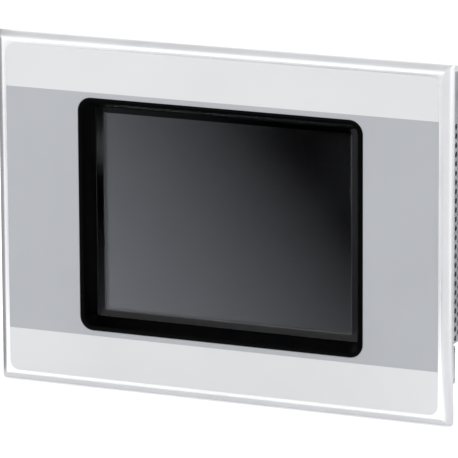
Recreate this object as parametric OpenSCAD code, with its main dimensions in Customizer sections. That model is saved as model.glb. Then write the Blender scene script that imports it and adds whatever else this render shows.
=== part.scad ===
// Panel-mounted operator terminal with a sunk touch display, taken apart into its real pieces.
// X runs to the right as the operator sees it, +Y runs back into the cabinet and +Z is up.
// The origin is the middle of the front frame's rear face, which lies on the cabinet's door.
// All sizes are millimetres.

/* [Front frame] */
// Width of the front frame
front_w = 212; // [200:1:280]
// Height of the front frame
front_h = 156; // [150:1:210]
// Thickness of the front frame at the crest of its rim
front_t = 5; // [4.5:0.1:7]
// How far the frame reaches past the cut-out on each side
flange_w = 7; // [6.5:0.1:12]
// Width of the curved slope outside the crest
slope_w = 3.5; // [2.5:0.1:4.2]
// Width of the flat strip above and below the overlay
strip_w = 1.45; // [1:0.05:2.5]
// Width of the flat strip beside the overlay
side_strip_w = 1.65; // [1:0.05:2.5]
// Thickness of the straight edge behind the slope
edge_t = 0.8; // [0.5:0.1:1.5]
// Thickness of the front wall between the overlay and the rear pocket
wall_t = 2.3; // [1.8:0.1:2.6]
// Corner radius of the overlay
overlay_r = 4; // [1:0.5:8]
// Thickness of the overlay film
overlay_t = 0.3; // [0.2:0.05:0.5]

/* [Display] */
// Width of the lit area of the display
screen_w = 115.2; // [90:0.1:120]
// Height of the lit area of the display
screen_h = 86.4; // [66:0.1:92]
// Dark margin seen beside the lit area
side_margin = 3.7; // [2:0.1:4.5]
// Dark margin seen above and below the lit area
end_margin = 3.2; // [2:0.1:4]
// Depth from the bezel's lip to the touch film
bezel_depth = 7.8; // [6.5:0.1:9.5]
// How far the bezel's walls lean in over their depth
bezel_draft = 3.1; // [1:0.05:5]
// Width of the bezel's lip
lip_w = 1.9; // [1.4:0.1:3]
// Outer corner radius of the bezel
bezel_r = 6; // [3:0.5:9]
// Width of the display module beyond the lit area, on each side
module_side = 14.4; // [12:0.1:16]
// Height of the display module beyond the lit area, above and below
module_end = 9.1; // [8.6:0.1:10]
// Thickness of the display module
module_t = 6.8; // [6:0.1:8]

/* [Case] */
// Depth of the case behind the door
case_d = 48; // [44:0.5:70]
// Depth of the shallow tray behind the front frame
tray_d = 19; // [18.5:0.5:22]
// Thickness of the sheet steel
sheet = 1; // [0.8:0.1:1.2]
// Gap between the case and the cut-out on each side
cut_gap = 0.5; // [0.3:0.1:1]
// Height of the open connector bay under the cover
bay_h = 23; // [20:0.5:28]
// Pitch of the ventilation holes
vent_pitch = 4; // [3.6:0.1:6]
// Diameter of the ventilation holes
vent_d = 2.5; // [1.8:0.1:2.8]

/* [Electronics] */
// Thickness of the main board
board_t = 1.6; // [1:0.1:2.4]
// Length of the standoffs under the main board
standoff_h = 9; // [7:0.5:12]
// Pitch of the power terminals
pole_pitch = 5.08; // [5:0.01:6]
// Travel of the control button
button_travel = 0.8; // [0.4:0.1:1.2]

/* [Hidden] */
$fn = 48;

// Clearances
fit_gap = 0.2;          // between pieces that drop into each other
film_gap = 0.15;        // round the overlay in its recess
overlay_sink = 0.1;     // overlay below the crest

// Front frame
cut_w = front_w - 2 * flange_w;
cut_h = front_h - 2 * flange_w;
y_front = -front_t;
overlay_w = front_w - 2 * (slope_w + side_strip_w);
overlay_h = front_h - 2 * (slope_w + strip_w);
y_overlay = y_front + overlay_sink;
y_wall = y_overlay + overlay_t;
y_pocket = y_wall + wall_t;
corner_r = 1.2;
seat_d = 0.6;           // rabbet that the tray stands in
gasket_w = 3;
gasket_groove = 1.2;
gasket_t = 2;
gasket_x = flange_w / 2; // gasket's middle, in from the frame's edge

// Display bezel
lip_proud = 0.2;
y_lip = y_front - lip_proud;
y_film = y_lip + bezel_depth;
film_t = 0.2;
spacer_t = 0.2;
glass_t = 1.7;
y_spacer = y_film + film_t;
y_glass = y_spacer + spacer_t;
y_glass_back = y_glass + glass_t;
seal_t = 0.6;
y_seal = y_film - seal_t;
floor_w = screen_w + 2 * side_margin;
floor_h = screen_h + 2 * end_margin;
floor_r = 1.2;
mouth_w = floor_w + 2 * bezel_draft;
mouth_h = floor_h + 2 * bezel_draft;
bezel_w = mouth_w + 2 * lip_w;
bezel_h = mouth_h + 2 * lip_w;
bezel_wall = 1.6;       // round the touch sensor
touch_w = bezel_w - 2 * (bezel_wall + fit_gap);
touch_h = bezel_h - 2 * (bezel_wall + fit_gap);
bezel_flange = 5;
bezel_flange_t = 1.2;
y_bezel_flange = y_pocket + bezel_flange_t;
tail_w = 12;            // touch sensor's flat cable
tail_x = 40;
tail_t = 0.3;

// Display module
module_w = screen_w + 2 * module_side;
module_h = screen_h + 2 * module_end;
foam_t = 0.5;
y_module = y_glass_back + foam_t;
y_module_back = y_module + module_t;
module_skin = 0.5;      // stamped steel frame and back plate
panel_t = 1.5;
diffuser_t = 0.6;
guide_t = 3;
y_panel = y_module + module_skin;
y_diffuser = y_panel + panel_t;
y_guide = y_diffuser + diffuser_t;
y_backplate = y_module_back - module_skin;
panel_w = screen_w + 8;
panel_h = screen_h + 6;
strip_h = 3;            // light strip under the guide
bracket_t = 1.2;
bracket_w = 18;
bracket_x = module_w / 2 + 4.2;
bracket_z = screen_h / 2 - 3.2;

// Case
case_w = cut_w - 2 * cut_gap;
case_top = cut_h / 2 - cut_gap;
tray_w = case_w - 2 * (sheet + fit_gap);
tray_top = case_top - sheet - fit_gap;
tray_y0 = -seat_d;
tray_chamfer_z = 3.3;   // bottom edge of the tray leans in by this much
tray_chamfer_y = 7;
ear_d = 5;              // side lugs behind the tray
ear_z0 = -tray_top + tray_chamfer_z;
bay_z = -case_top + bay_h;
ear_z1 = bay_z - 2;
cover_y0 = 3;
cover_bend = 2.2;
cover_slope_y = 14;     // sloped edge along the top of the cover
cover_slope_z = 10.5;
cover_lip = 8;          // flange that screws to the tray
y_back = case_d - sheet;
post_d = 7;
post_sink = 1.2;        // how far posts and screws go into the front wall
post_x = tray_w / 2 - 8;
post_z = tray_top - 7.3;
posts = [for (x = [-post_x, 0, post_x], z = [-post_z, post_z]) [x, z]];
short_post_d = 6;
short_posts = [for (x = [-1, 1], z = [-1, 1]) [x * bracket_x, z * bracket_z]];
hook_slot = [14, 3];    // slots that the retaining clamps hook into
hook_y = 10;
hook_x = cut_w / 2 - 39;
m3_tap = 2.5;
m3_hole = 3.4;
lip_screws = [for (i = [-1, 0, 1]) i * (tray_w / 2 - 12.3)];

// Main board
board_y0 = tray_d + standoff_h;
board_y = board_y0 + board_t;
board_w = tray_w - 18.6;
board_z0 = bay_z + sheet + 0.3;
board_z1 = case_top - 12.5;
board_holes = concat(
    [for (x = [-1, 1]) [x * (board_w / 2 - 8), board_z0 + 16]],
    [for (x = [-1, 0, 1]) [x * (board_w / 2 - 8), board_z1 - 8]]);

// Connectors, from the left to the right as the operator sees them
left = -board_w / 2;
power_x = left + 10;
button_x = left + 25;
ethernet_x = left + 38;
usb_host_x = left + 55;
usb_device_x = left + 70.5;
card_x = left + 92;
serial_x = left + 124;
can_x = left + 159;
port_out = 0.6;         // how far the ports stand out of the cover
port_gap = 0.2;         // round the ports in the cover
ethernet_size = [16, 13.4];
usb_host_size = [14.4, 7];
usb_device_size = [12, 10.8];
dsub_size = [17.6, 9];
dsub_y = board_y + 6.3;
jack_pitch = 25;
card_w = 24;
card_l = 32;
card_t = 2.1;
card_y = board_y + 0.4;
card_out = 1;
button_d = 3;
button_out = 0.8;
button_y = board_y + 3.5;

// Power inlet
poles = [-1, 0, 1];
pin_y = board_y + 4.3;
header_w = 3 * pole_pitch + 2;
header_t = 0.8;
header_h = 8.5;
header_y1 = board_y + header_h;

// ---------- shapes ----------

// Rectangle with round corners, around the origin
module round_rect(w, h, r = 0) {
    if (r <= 0) {
        square([w, h], center = true);
    } else {
        square([w - 2 * r, h], center = true);
        square([w, h - 2 * r], center = true);
        for (x = [-1, 1], y = [-1, 1])
            translate([x * (w / 2 - r), y * (h / 2 - r)]) circle(r);
    }
}

// Drawing in the XZ plane made solid from y0 to y1
module along_y(y0, y1) {
    translate([0, y1, 0]) rotate([90, 0, 0]) linear_extrude(y1 - y0) children();
}

// Drawing in the YZ plane made solid from x0 to x1
module along_x(x0, x1) {
    translate([x0, 0, 0]) rotate([90, 0, 90]) linear_extrude(x1 - x0) children();
}

// Drawing in the XY plane made solid from z0 to z1
module along_z(z0, z1) {
    translate([0, 0, z0]) linear_extrude(z1 - z0) children();
}

// Flat plate facing the operator
module slab(w, h, y0, y1, r = 0, x = 0, z = 0) {
    translate([x, 0, z]) along_y(y0, y1) round_rect(w, h, r);
}

// Flat ring facing the operator
module ring(w, h, border, y0, y1, r = 0, r_in = 0) {
    along_y(y0, y1) difference() {
        round_rect(w, h, r);
        round_rect(w - 2 * border, h - 2 * border, r_in);
    }
}

module block(x0, x1, y0, y1, z0, z1) {
    translate([x0, y0, z0]) cube([x1 - x0, y1 - y0, z1 - z0]);
}

module rod_y(d, y0, y1, x = 0, z = 0) {
    translate([x, y0, z]) rotate([-90, 0, 0]) cylinder(d = d, h = y1 - y0);
}

module rod_z(d, z0, z1, x = 0, y = 0) {
    translate([x, y, z0]) cylinder(d = d, h = z1 - z0);
}

// Screw driven from behind: its head sits on y and its shank points forward
module screw_y(x, z, y, d, length, head_d, head_h) {
    difference() {
        union() {
            rod_y(d, y - length, y, x, z);
            rod_y(head_d, y, y + head_h, x, z);
        }
        for (a = [45, 135])
            translate([x, y + head_h, z]) rotate([0, a, 0])
                cube([head_d * 0.62, head_h * 1.1, head_d * 0.16], center = true);
    }
}

// Flat cable bent square through points in the YZ plane
module ribbon(x0, x1, points, t) {
    for (i = [0 : len(points) - 2]) {
        a = points[i];
        b = points[i + 1];
        block(x0, x1, min(a[0], b[0]) - t / 2, max(a[0], b[0]) + t / 2,
              min(a[1], b[1]) - t / 2, max(a[1], b[1]) + t / 2);
    }
}

// Point at t along the curve from a to d with the handles b and c
function curve(a, b, c, d, t) =
    pow(1 - t, 3) * a + 3 * pow(1 - t, 2) * t * b + 3 * (1 - t) * t * t * c + pow(t, 3) * d;

// Arc of radius r that rounds the corner b of the path a, b, c
function bend(a, b, c, r, steps = 5) =
    let (u = (a - b) / norm(a - b), v = (c - b) / norm(c - b),
         half = acos(u * v) / 2,
         middle = b + (u + v) / norm(u + v) * r / sin(half),
         p = b + u * r / tan(half) - middle,
         q = b + v * r / tan(half) - middle,
         whole = 180 - 2 * half)
    [for (i = [0 : steps])
        middle + (sin(whole * (1 - i / steps)) * p + sin(whole * i / steps) * q) / sin(whole)];

// ---------- front group ----------

// Half of the rim's section: out from the crest down the slope to the rear edge
function slope(half) = [
    for (i = [0 : 8])
        curve([half - slope_w, y_front],
              [half - slope_w * 0.62, y_front + slope_w * 0.2],
              [half - slope_w * 0.06, -edge_t - (front_t - edge_t) * 0.58],
              [half, -edge_t], i / 8)
];

module rim_section(half) {
    right = slope(half);
    polygon(concat([[-half, 0]],
                   [for (i = [8 : -1 : 0]) [-right[i][0], right[i][1]]],
                   right, [[half, 0]]));
}

module front_body() {
    intersection() {
        along_z(-front_h / 2, front_h / 2) rim_section(front_w / 2);
        rotate([0, 90, 0]) along_z(-front_w / 2, front_w / 2) rim_section(front_h / 2);
        slab(front_w, front_h, y_front, 0, corner_r);
    }
}

module front_frame() {
    color("silver") difference() {
        front_body();
        slab(overlay_w, overlay_h, y_front - 1, y_wall, overlay_r);
        slab(tray_w + 2 * fit_gap, 2 * (tray_top + fit_gap), -seat_d, 1);
        slab(tray_w - 7, 2 * tray_top - 7, y_pocket, 1, 3);
        ring(front_w - 2 * gasket_x + gasket_w, front_h - 2 * gasket_x + gasket_w,
             gasket_w, -gasket_groove, 1, 2.5, 1);
        slab(bezel_w + 2 * fit_gap, bezel_h + 2 * fit_gap, y_front - 1, 1, bezel_r + fit_gap);
        for (p = bezel_screw_points) rod_y(2, y_pocket - post_sink, y_pocket + 1, p[0], p[1]);
        for (p = posts) rod_y(post_d, y_pocket - post_sink, y_pocket + 1, p[0], p[1]);
        for (p = short_posts) rod_y(short_post_d, y_pocket - post_sink, y_pocket + 1, p[0], p[1]);
    }
}

// Threaded posts pressed into the frame: the long ones carry the tray, the short ones the display
module frame_posts() {
    color("silver") {
        for (p = posts) difference() {
            rod_y(post_d, y_pocket - post_sink, tray_d - sheet, p[0], p[1]);
            rod_y(m3_tap, tray_d - sheet - 9, tray_d, p[0], p[1]);
        }
        for (p = short_posts) difference() {
            rod_y(short_post_d, y_pocket - post_sink, y_module_back, p[0], p[1]);
            rod_y(2, y_module_back - 6, y_module_back + 1, p[0], p[1]);
        }
    }
}

module front_overlay() {
    color("gainsboro") along_y(y_overlay, y_wall) difference() {
        round_rect(overlay_w - 2 * film_gap, overlay_h - 2 * film_gap, overlay_r - film_gap);
        round_rect(bezel_w + 2 * fit_gap, bezel_h + 2 * fit_gap, bezel_r + fit_gap);
    }
}

module panel_gasket() {
    color("dimgray")
        ring(front_w - 2 * gasket_x + gasket_w - 0.2, front_h - 2 * gasket_x + gasket_w - 0.2,
             gasket_w - 0.2, -gasket_groove, gasket_t - gasket_groove, 2.4, 1.1);
}

bezel_screw_points = concat(
    [for (x = [-1, 1]) [x * (bezel_w + bezel_flange) / 2, 0]],
    [for (x = [-1, 1], z = [-1, 1]) [x * bezel_w * 0.3, z * (bezel_h + bezel_flange) / 2]]);

module display_bezel() {
    color("black") difference() {
        union() {
            slab(bezel_w, bezel_h, y_lip, y_glass_back, bezel_r);
            slab(bezel_w + 2 * bezel_flange, bezel_h + 2 * bezel_flange, y_pocket, y_bezel_flange, 3);
        }
        hull() {
            slab(mouth_w + 0.2, mouth_h + 0.2, y_lip - 0.5, y_lip + 0.3, bezel_r - lip_w, $fn = 32);
            slab(floor_w, floor_h, y_seal - 0.8, y_seal, floor_r, $fn = 32);
        }
        slab(floor_w, floor_h, y_seal - 0.9, y_seal + 1, floor_r);
        slab(touch_w + 2 * fit_gap, touch_h + 2 * fit_gap, y_seal, y_glass_back + 1, 1);
        block(tail_x - tail_w / 2 - 1, tail_x + tail_w / 2 + 1, y_seal, y_glass_back + 1,
              -bezel_h / 2 - 1, -bezel_h / 2 + bezel_wall + 1);
        for (p = bezel_screw_points) rod_y(2.3, y_pocket - 1, y_bezel_flange + 1, p[0], p[1]);
    }
}

module bezel_screws() {
    color("silver") for (p = bezel_screw_points)
        screw_y(p[0], p[1], y_bezel_flange, 1.9, bezel_flange_t + post_sink - 0.2, 3.6, 1.3);
}

module bezel_gasket() {
    color("black") along_y(y_seal, y_film) difference() {
        round_rect(touch_w - 1, touch_h - 1, 1);
        round_rect(floor_w, floor_h, floor_r);
    }
}

module touch_film() {
    color("dimgray") slab(touch_w, touch_h, y_film, y_spacer, 0.8);
}

module touch_spacer() {
    color("white") along_y(y_spacer, y_glass) difference() {
        round_rect(touch_w, touch_h, 0.8);
        round_rect(screen_w + 1.4, screen_h + 1.4, 0.8);
    }
}

module touch_glass() {
    color("lightgray") slab(touch_w, touch_h, y_glass, y_glass_back, 0.8);
}

// Points of the two flat cables in the YZ plane
tail_exit = -bezel_h / 2 + bezel_wall + fit_gap;
behind_module = y_module_back + bracket_t + 1.2;
tail_route = [
    [y_spacer + spacer_t / 2 + 1.2, tail_exit - tail_t / 2],
    [y_spacer + spacer_t / 2 + 1.2, -module_h / 2 - 2.2],
    [behind_module, -module_h / 2 - 2.2],
    [behind_module, board_z0 + 8],
    [board_y0 - 2.6, board_z0 + 8]];
lcd_route = [
    [y_module + module_t / 2, -module_h / 2 - tail_t / 2],
    [y_module + module_t / 2, -module_h / 2 - 3.8],
    [behind_module + 1, -module_h / 2 - 3.8],
    [behind_module + 1, board_z0 + 18],
    [board_y0 - 2.6, board_z0 + 18]];
lcd_cable_x = [-50, -20];

module touch_cable() {
    color("orange") ribbon(tail_x - tail_w / 2, tail_x + tail_w / 2, tail_route, tail_t);
}

module display_gasket() {
    color("black") along_y(y_glass_back, y_module) difference() {
        round_rect(screen_w + 10, screen_h + 10, 1);
        round_rect(screen_w + 5, screen_h + 5, 1);
    }
}

module lcd_frame() {
    color("dimgray") difference() {
        slab(module_w, module_h, y_module, y_backplate, 0.8);
        slab(module_w - 2 * module_skin, module_h - 2 * module_skin, y_panel, y_backplate + 1, 0.5);
        slab(screen_w + 1.6, screen_h + 1.6, y_module - 1, y_panel + 1, 0.5);
    }
}

module lcd_panel() {
    color("black") slab(panel_w, panel_h, y_panel, y_diffuser, 0.3);
}

module lcd_diffuser() {
    color("white") slab(panel_w - 1, panel_h - 1, y_diffuser, y_guide);
}

module light_guide() {
    color("lightcyan") slab(panel_w - 2, panel_h - 2, y_guide, y_guide + guide_t);
}

module light_strip() {
    z1 = -(panel_h - 2) / 2 - 0.3;
    color("gold") union() {
        block(-panel_w / 2 + 2, panel_w / 2 - 2, y_guide, y_guide + 2.4, z1 - strip_h, z1 - 0.8);
        for (i = [-5.5 : 5.5])
            block(i * 9 - 1.5, i * 9 + 1.5, y_guide + 0.4, y_guide + 2, z1 - 0.8, z1);
    }
}

module lcd_carrier() {
    inside_w = module_w - 2 * module_skin - 0.2;
    inside_h = module_h - 2 * module_skin - 0.2;
    color("white") difference() {
        slab(inside_w, inside_h, y_panel, y_backplate, 0.5);
        slab(panel_w + 0.3, panel_h + 0.3, y_panel - 1, y_backplate + 1);
        block(-panel_w / 2, panel_w / 2, y_guide, y_backplate + 1,
              -panel_h / 2 - strip_h - 1, 0);
    }
}

module lcd_backplate() {
    color("lightsteelblue") slab(module_w, module_h, y_backplate, y_module_back, 0.8);
}

module display_brackets() {
    color("lightsteelblue") for (side = [-1, 1]) difference() {
        slab(bracket_w, 2 * bracket_z + 14, y_module_back, y_module_back + bracket_t, 2,
             side * (bracket_x - bracket_w / 2 + 5), 0);
        for (z = [-1, 1])
            rod_y(2.7, y_module_back - 1, y_module_back + bracket_t + 1, side * bracket_x, z * bracket_z);
        slab(6, bracket_z, y_module_back - 1, y_module_back + bracket_t + 1, 2,
             side * (bracket_x - bracket_w / 2 + 3), 0);
    }
}

module bracket_screws() {
    color("silver") for (p = short_posts)
        screw_y(p[0], p[1], y_module_back + bracket_t, 1.9, 6, 4, 1.5);
}

module lcd_cable() {
    color("orange") ribbon(lcd_cable_x[0], lcd_cable_x[1], lcd_route, tail_t);
}

// ---------- case ----------

module tray_side(inset) {
    z = tray_top - inset;
    polygon([[tray_y0 - (inset > 0 ? 1 : 0), z], [tray_d - inset, z],
             [tray_d - inset, ear_z0 + inset / 2],
             [tray_d - tray_chamfer_y - inset / 2, -z],
             [tray_y0 - (inset > 0 ? 1 : 0), -z]]);
}

module hook_slots(top_and_sides_only) {
    for (x = [-1, 1]) {
        block(x * hook_x - hook_slot[0] / 2, x * hook_x + hook_slot[0] / 2,
              hook_y - hook_slot[1] / 2, hook_y + hook_slot[1] / 2,
              tray_top - sheet - 1, case_top + 1);
        if (!top_and_sides_only)
            block(x * hook_x - hook_slot[0] / 2, x * hook_x + hook_slot[0] / 2,
                  hook_y - hook_slot[1] / 2, hook_y + hook_slot[1] / 2,
                  -case_top - 1, -tray_top + sheet + 1);
        block(x * case_w / 2 - 4, x * case_w / 2 + 4,
              hook_y - hook_slot[1] / 2, hook_y + hook_slot[1] / 2,
              -hook_slot[0] / 2, hook_slot[0] / 2);
    }
}

module tray() {
    color("lightgray") difference() {
        union() {
            difference() {
                along_x(-tray_w / 2, tray_w / 2) tray_side(0);
                along_x(-tray_w / 2 + sheet, tray_w / 2 - sheet) tray_side(sheet);
            }
            for (side = [-1, 1]) mirror([side < 0 ? 1 : 0, 0, 0])
                block(tray_w / 2 - sheet, tray_w / 2, tray_d - sheet, tray_d + ear_d, ear_z0, ear_z1);
        }
        for (z = [ear_z0 + 1.6, ear_z1 - 1.6])
            translate([-tray_w, tray_d + ear_d - 1.8, z]) rotate([0, 90, 0])
                cylinder(d = 1.8, h = 2 * tray_w);
        for (p = posts) rod_y(m3_hole, 0, tray_d + 1, p[0], p[1]);
        for (x = lip_screws) rod_y(m3_tap, 0, tray_d + 1, x, bay_z - cover_lip / 2);
        block(tail_x - tail_w / 2 - 2, tail_x + tail_w / 2 + 2, 0, tray_d + 1,
              tail_route[4][1] - 2, tail_route[4][1] + 2);
        block(lcd_cable_x[0] - 2, lcd_cable_x[1] + 2, 0, tray_d + 1,
              lcd_route[4][1] - 2, lcd_route[4][1] + 2);
        hook_slots(false);
    }
}

module tray_screws() {
    color("silver") for (p = posts) screw_y(p[0], p[1], tray_d, 2.4, 7.5, 5.6, 1.9);
}

// Corners of the cover's outside, seen from its side, and of its inside
cover_outer = [
    [cover_y0, case_top],
    [case_d - cover_slope_y, case_top],
    [case_d, case_top - cover_slope_z],
    [case_d, bay_z],
    [tray_d, bay_z],
    [tray_d, bay_z - cover_lip]];
slope_angle = atan2(cover_slope_z, cover_slope_y);
cover_inner = [
    [cover_y0, case_top - sheet],
    [case_d - cover_slope_y - sheet * tan(slope_angle / 2), case_top - sheet],
    [case_d - sheet, case_top - cover_slope_z - sheet * tan(45 - slope_angle / 2)],
    [case_d - sheet, bay_z + sheet],
    [tray_d, bay_z + sheet]];

function cover_path(p, r) = concat(
    [p[0]], bend(p[0], p[1], p[2], r), bend(p[1], p[2], p[3], r), bend(p[2], p[3], p[4], r));

module cover_side() {
    polygon(concat(cover_path(cover_outer, cover_bend), [[cover_y0, bay_z]]));
}

module cover_strip() {
    outer = cover_path(cover_outer, cover_bend);
    inner = cover_path(cover_inner, cover_bend - sheet);
    polygon(concat(outer,
                   [[tray_d + sheet, bay_z], [tray_d + sheet, bay_z - cover_lip],
                    [tray_d, bay_z - cover_lip], [tray_d, bay_z + sheet]],
                   [for (i = [len(inner) - 1 : -1 : 0]) inner[i]]));
}

// Staggered holes over a field, cols along the first axis and rows along the second
module vent_field(cols, rows, first, step, pitch) {
    for (c = [0 : cols - 1], r = [0 : rows - 1])
        translate([first[0] + c * step, first[1] + r * pitch + (c % 2) * pitch / 2])
            circle(d = vent_d, $fn = 20);
}

vent_step = vent_pitch * sqrt(3) / 2;
vent_y0 = tray_d + 1.6;
vent_z0 = bay_z + 2.2;
vent_cols = floor((case_d - 4 - vent_y0) / vent_step) + 1;
vent_rows = floor((case_top - 16 - vent_z0) / vent_pitch);
top_cols = floor((case_w - 40) / vent_step);
top_rows = floor((case_d - cover_slope_y - 2 - vent_y0 - 2) / vent_pitch);
back_field_w = 118;
back_cols = floor(back_field_w / vent_step);
back_rows = 5;
back_first = [-(back_cols - 1) * vent_step / 2, case_top - cover_slope_z - 5 - back_rows * vent_pitch];

// Hole in the bay's wall for a port that stands on the board
module port_cut(x, size) {
    block(x - size[0] / 2 - port_gap, x + size[0] / 2 + port_gap,
          board_y - port_gap, board_y + size[1] + 2 * port_gap, bay_z - 1, bay_z + cover_bend);
}

module port_cuts() {
    port_cut(power_x, [header_w, header_h]);
    port_cut(ethernet_x, ethernet_size);
    port_cut(usb_host_x, usb_host_size);
    port_cut(usb_device_x, usb_device_size);
    block(card_x - card_w / 2 - 0.5, card_x + card_w / 2 + 0.5,
          card_y - 0.35, card_y + card_t + 0.35, bay_z - 1, bay_z + cover_bend);
    rod_z(button_d + 1.2, bay_z - 1, bay_z + cover_bend, button_x, button_y);
    for (x = [serial_x, can_x]) {
        translate([x, dsub_y, 0]) along_z(bay_z - 1, bay_z + cover_bend)
            d_shape(dsub_size[0] + 1.8, dsub_size[1] + 1.6);
        for (side = [-1, 1])
            rod_z(3.2, bay_z - 1, bay_z + cover_bend, x + side * jack_pitch / 2, dsub_y);
    }
}

module rear_cover() {
    color("lightgray") difference() {
        union() {
            for (side = [-1, 1]) mirror([side < 0 ? 1 : 0, 0, 0])
                along_x(case_w / 2 - sheet, case_w / 2) difference() {
                    cover_side();
                    vent_field(vent_cols, vent_rows, [vent_y0, vent_z0], vent_step, vent_pitch);
                    translate([hook_y, 0]) square([hook_slot[1], hook_slot[0]], center = true);
                }
            difference() {
                along_x(-case_w / 2 + sheet, case_w / 2 - sheet) cover_strip();
                along_z(case_top - sheet - 1, case_top + 1)
                    vent_field(top_cols, top_rows,
                               [-(top_cols - 1) * vent_step / 2, vent_y0 + 1], vent_step, vent_pitch);
                along_y(case_d - sheet - 1, case_d + 1)
                    vent_field(back_cols, back_rows, back_first, vent_step, vent_pitch);
                hook_slots(true);
            }
        }
        port_cuts();
        for (x = lip_screws) rod_y(m3_hole, tray_d - 1, tray_d + sheet + 1, x, bay_z - cover_lip / 2);
        for (side = [-1, 1])
            block(side > 0 ? tray_w / 2 - sheet - 0.5 : -case_w / 2,
                  side > 0 ? case_w / 2 : -tray_w / 2 + sheet + 0.5,
                  tray_d - 1, tray_d + sheet + 1, bay_z - cover_lip - 1, bay_z);
    }
}

module cover_screws() {
    color("silver") for (x = lip_screws)
        screw_y(x, bay_z - cover_lip / 2, tray_d + sheet, 2.4, 4, 5.6, 1.9);
}

plate_w = 84;
plate_h = 42;

module rating_plate() {
    color("whitesmoke") slab(plate_w, plate_h, case_d, case_d + 0.25, 2, 0, bay_z + 14 + plate_h / 2);
}

stud_x = (serial_x + can_x) / 2;
stud_z = bay_z - 14;
stud_l = 9;

module ground_stud() {
    color("gold") union() {
        rod_y(7, tray_d, tray_d + 1.4, stud_x, stud_z);
        rod_y(4, tray_d + 1.4, tray_d + 1.4 + stud_l, stud_x, stud_z);
    }
}

// ---------- electronics ----------

module main_board() {
    color("green") difference() {
        block(-board_w / 2, board_w / 2, board_y0, board_y, board_z0, board_z1);
        for (p = board_holes) rod_y(m3_hole, board_y0 - 1, board_y + 1, p[0], p[1]);
    }
}

module board_standoffs() {
    color("gold") for (p = board_holes) difference() {
        rod_y(6.3, tray_d, board_y0, p[0], p[1], $fn = 6);
        rod_y(m3_tap, board_y0 - 6, board_y0 + 1, p[0], p[1]);
    }
}

module board_screws() {
    color("silver") for (p = board_holes) screw_y(p[0], p[1], board_y, 2.4, 6, 5.6, 1.9);
}

// Sockets on the front of the board that the two flat cables go into
module board_sockets() {
    color("ivory") for (s = [[tail_x - tail_w / 2, tail_x + tail_w / 2, tail_route[4]],
                             [lcd_cable_x[0], lcd_cable_x[1], lcd_route[4]]])
        block(s[0] - 2, s[1] + 2, s[2][0] + tail_t / 2, board_y0, s[2][1] - 2.5, s[2][1] + 2.5);
}

chip_x = -20;
chip_z = 18;
chip_t = 2.2;

module processor() {
    color("black") slab(31, 31, board_y, board_y + chip_t, 0.5, chip_x, chip_z);
}

sink_w = 42;
sink_base = 2.5;
sink_top = y_back - 3;

module heat_sink() {
    y0 = board_y + chip_t;
    color("black") union() {
        slab(sink_w, sink_w, y0, y0 + sink_base, 0, chip_x, chip_z);
        for (i = [0 : 9])
            block(chip_x - sink_w / 2 + i * (sink_w - 1.2) / 9,
                  chip_x - sink_w / 2 + i * (sink_w - 1.2) / 9 + 1.2,
                  y0 + sink_base, sink_top, chip_z - sink_w / 2, chip_z + sink_w / 2);
    }
}

module memory_chips() {
    color("black") union() {
        for (i = [0 : 3])
            slab(12, 9, board_y, board_y + 1.2, 0.3, 26, -6 + i * 12);
        for (i = [0, 1])
            slab(18, 12, board_y, board_y + 1.2, 0.3, 48, 2 + i * 18);
    }
}

module capacitors() {
    color("dimgray") for (i = [0 : 3]) union() {
        slab(8.6, 8.6, board_y, board_y + 1, 0.6, power_x - 2, board_z0 + 32 + i * 12);
        rod_y(8, board_y + 1, board_y + 10.2, power_x - 2, board_z0 + 32 + i * 12);
    }
}

module power_chokes() {
    color("gray") for (i = [0 : 2])
        slab(12, 12, board_y, board_y + 6, 1.5, power_x + 16, board_z0 + 28 + i * 16);
}

cell_x = 70;
cell_z = 26;

module battery_holder() {
    color("black") difference() {
        rod_y(24, board_y, board_y + 5, cell_x, cell_z);
        rod_y(20.4, board_y + 1, board_y + 6, cell_x, cell_z);
        block(cell_x - 5, cell_x + 5, board_y + 1, board_y + 6, cell_z - 14, cell_z);
    }
}

module coin_cell() {
    color("silver") union() {
        rod_y(18, board_y + 1, board_y + 1.4, cell_x, cell_z);
        rod_y(20, board_y + 1.4, board_y + 4.2, cell_x, cell_z);
    }
}

module ethernet_port() {
    z0 = bay_z - port_out;
    y0 = board_y;
    color("silver") difference() {
        block(ethernet_x - ethernet_size[0] / 2, ethernet_x + ethernet_size[0] / 2,
              y0, y0 + ethernet_size[1], z0, z0 + 16.5);
        block(ethernet_x - 5.9, ethernet_x + 5.9, y0 + 2.4, y0 + 9.4, z0 - 1, z0 + 13);
        block(ethernet_x - 3.1, ethernet_x + 3.1, y0 + 9, y0 + 11.4, z0 - 1, z0 + 13);
    }
}

module ethernet_contacts() {
    z0 = bay_z - port_out;
    color("gold") for (i = [-3.5 : 3.5])
        block(ethernet_x + i * 1.02 - 0.2, ethernet_x + i * 1.02 + 0.2,
              board_y + 2.4, board_y + 3.2, z0 + 4, z0 + 12.5);
}

module usb_shell(x, size, depth, skin) {
    z0 = bay_z - port_out;
    w = size[0];
    h = size[1];
    difference() {
        block(x - w / 2, x + w / 2, board_y, board_y + h, z0, z0 + depth);
        block(x - w / 2 + skin, x + w / 2 - skin, board_y + skin, board_y + h - skin, z0 - 1, z0 + 10);
    }
}

module usb_host_port() {
    color("silver") usb_shell(usb_host_x, usb_host_size, 14, 0.7);
}

module usb_device_port() {
    color("silver") usb_shell(usb_device_x, usb_device_size, 16, 1.6);
}

module usb_tongues() {
    z0 = bay_z - port_out;
    color("ivory") union() {
        block(usb_host_x - 5.5, usb_host_x + 5.5, board_y + 3.9, board_y + 5.7, z0 + 1, z0 + 10);
        block(usb_device_x - 2.8, usb_device_x + 2.8, board_y + 3.8, board_y + 7, z0 + 1, z0 + 10);
    }
}

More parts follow.
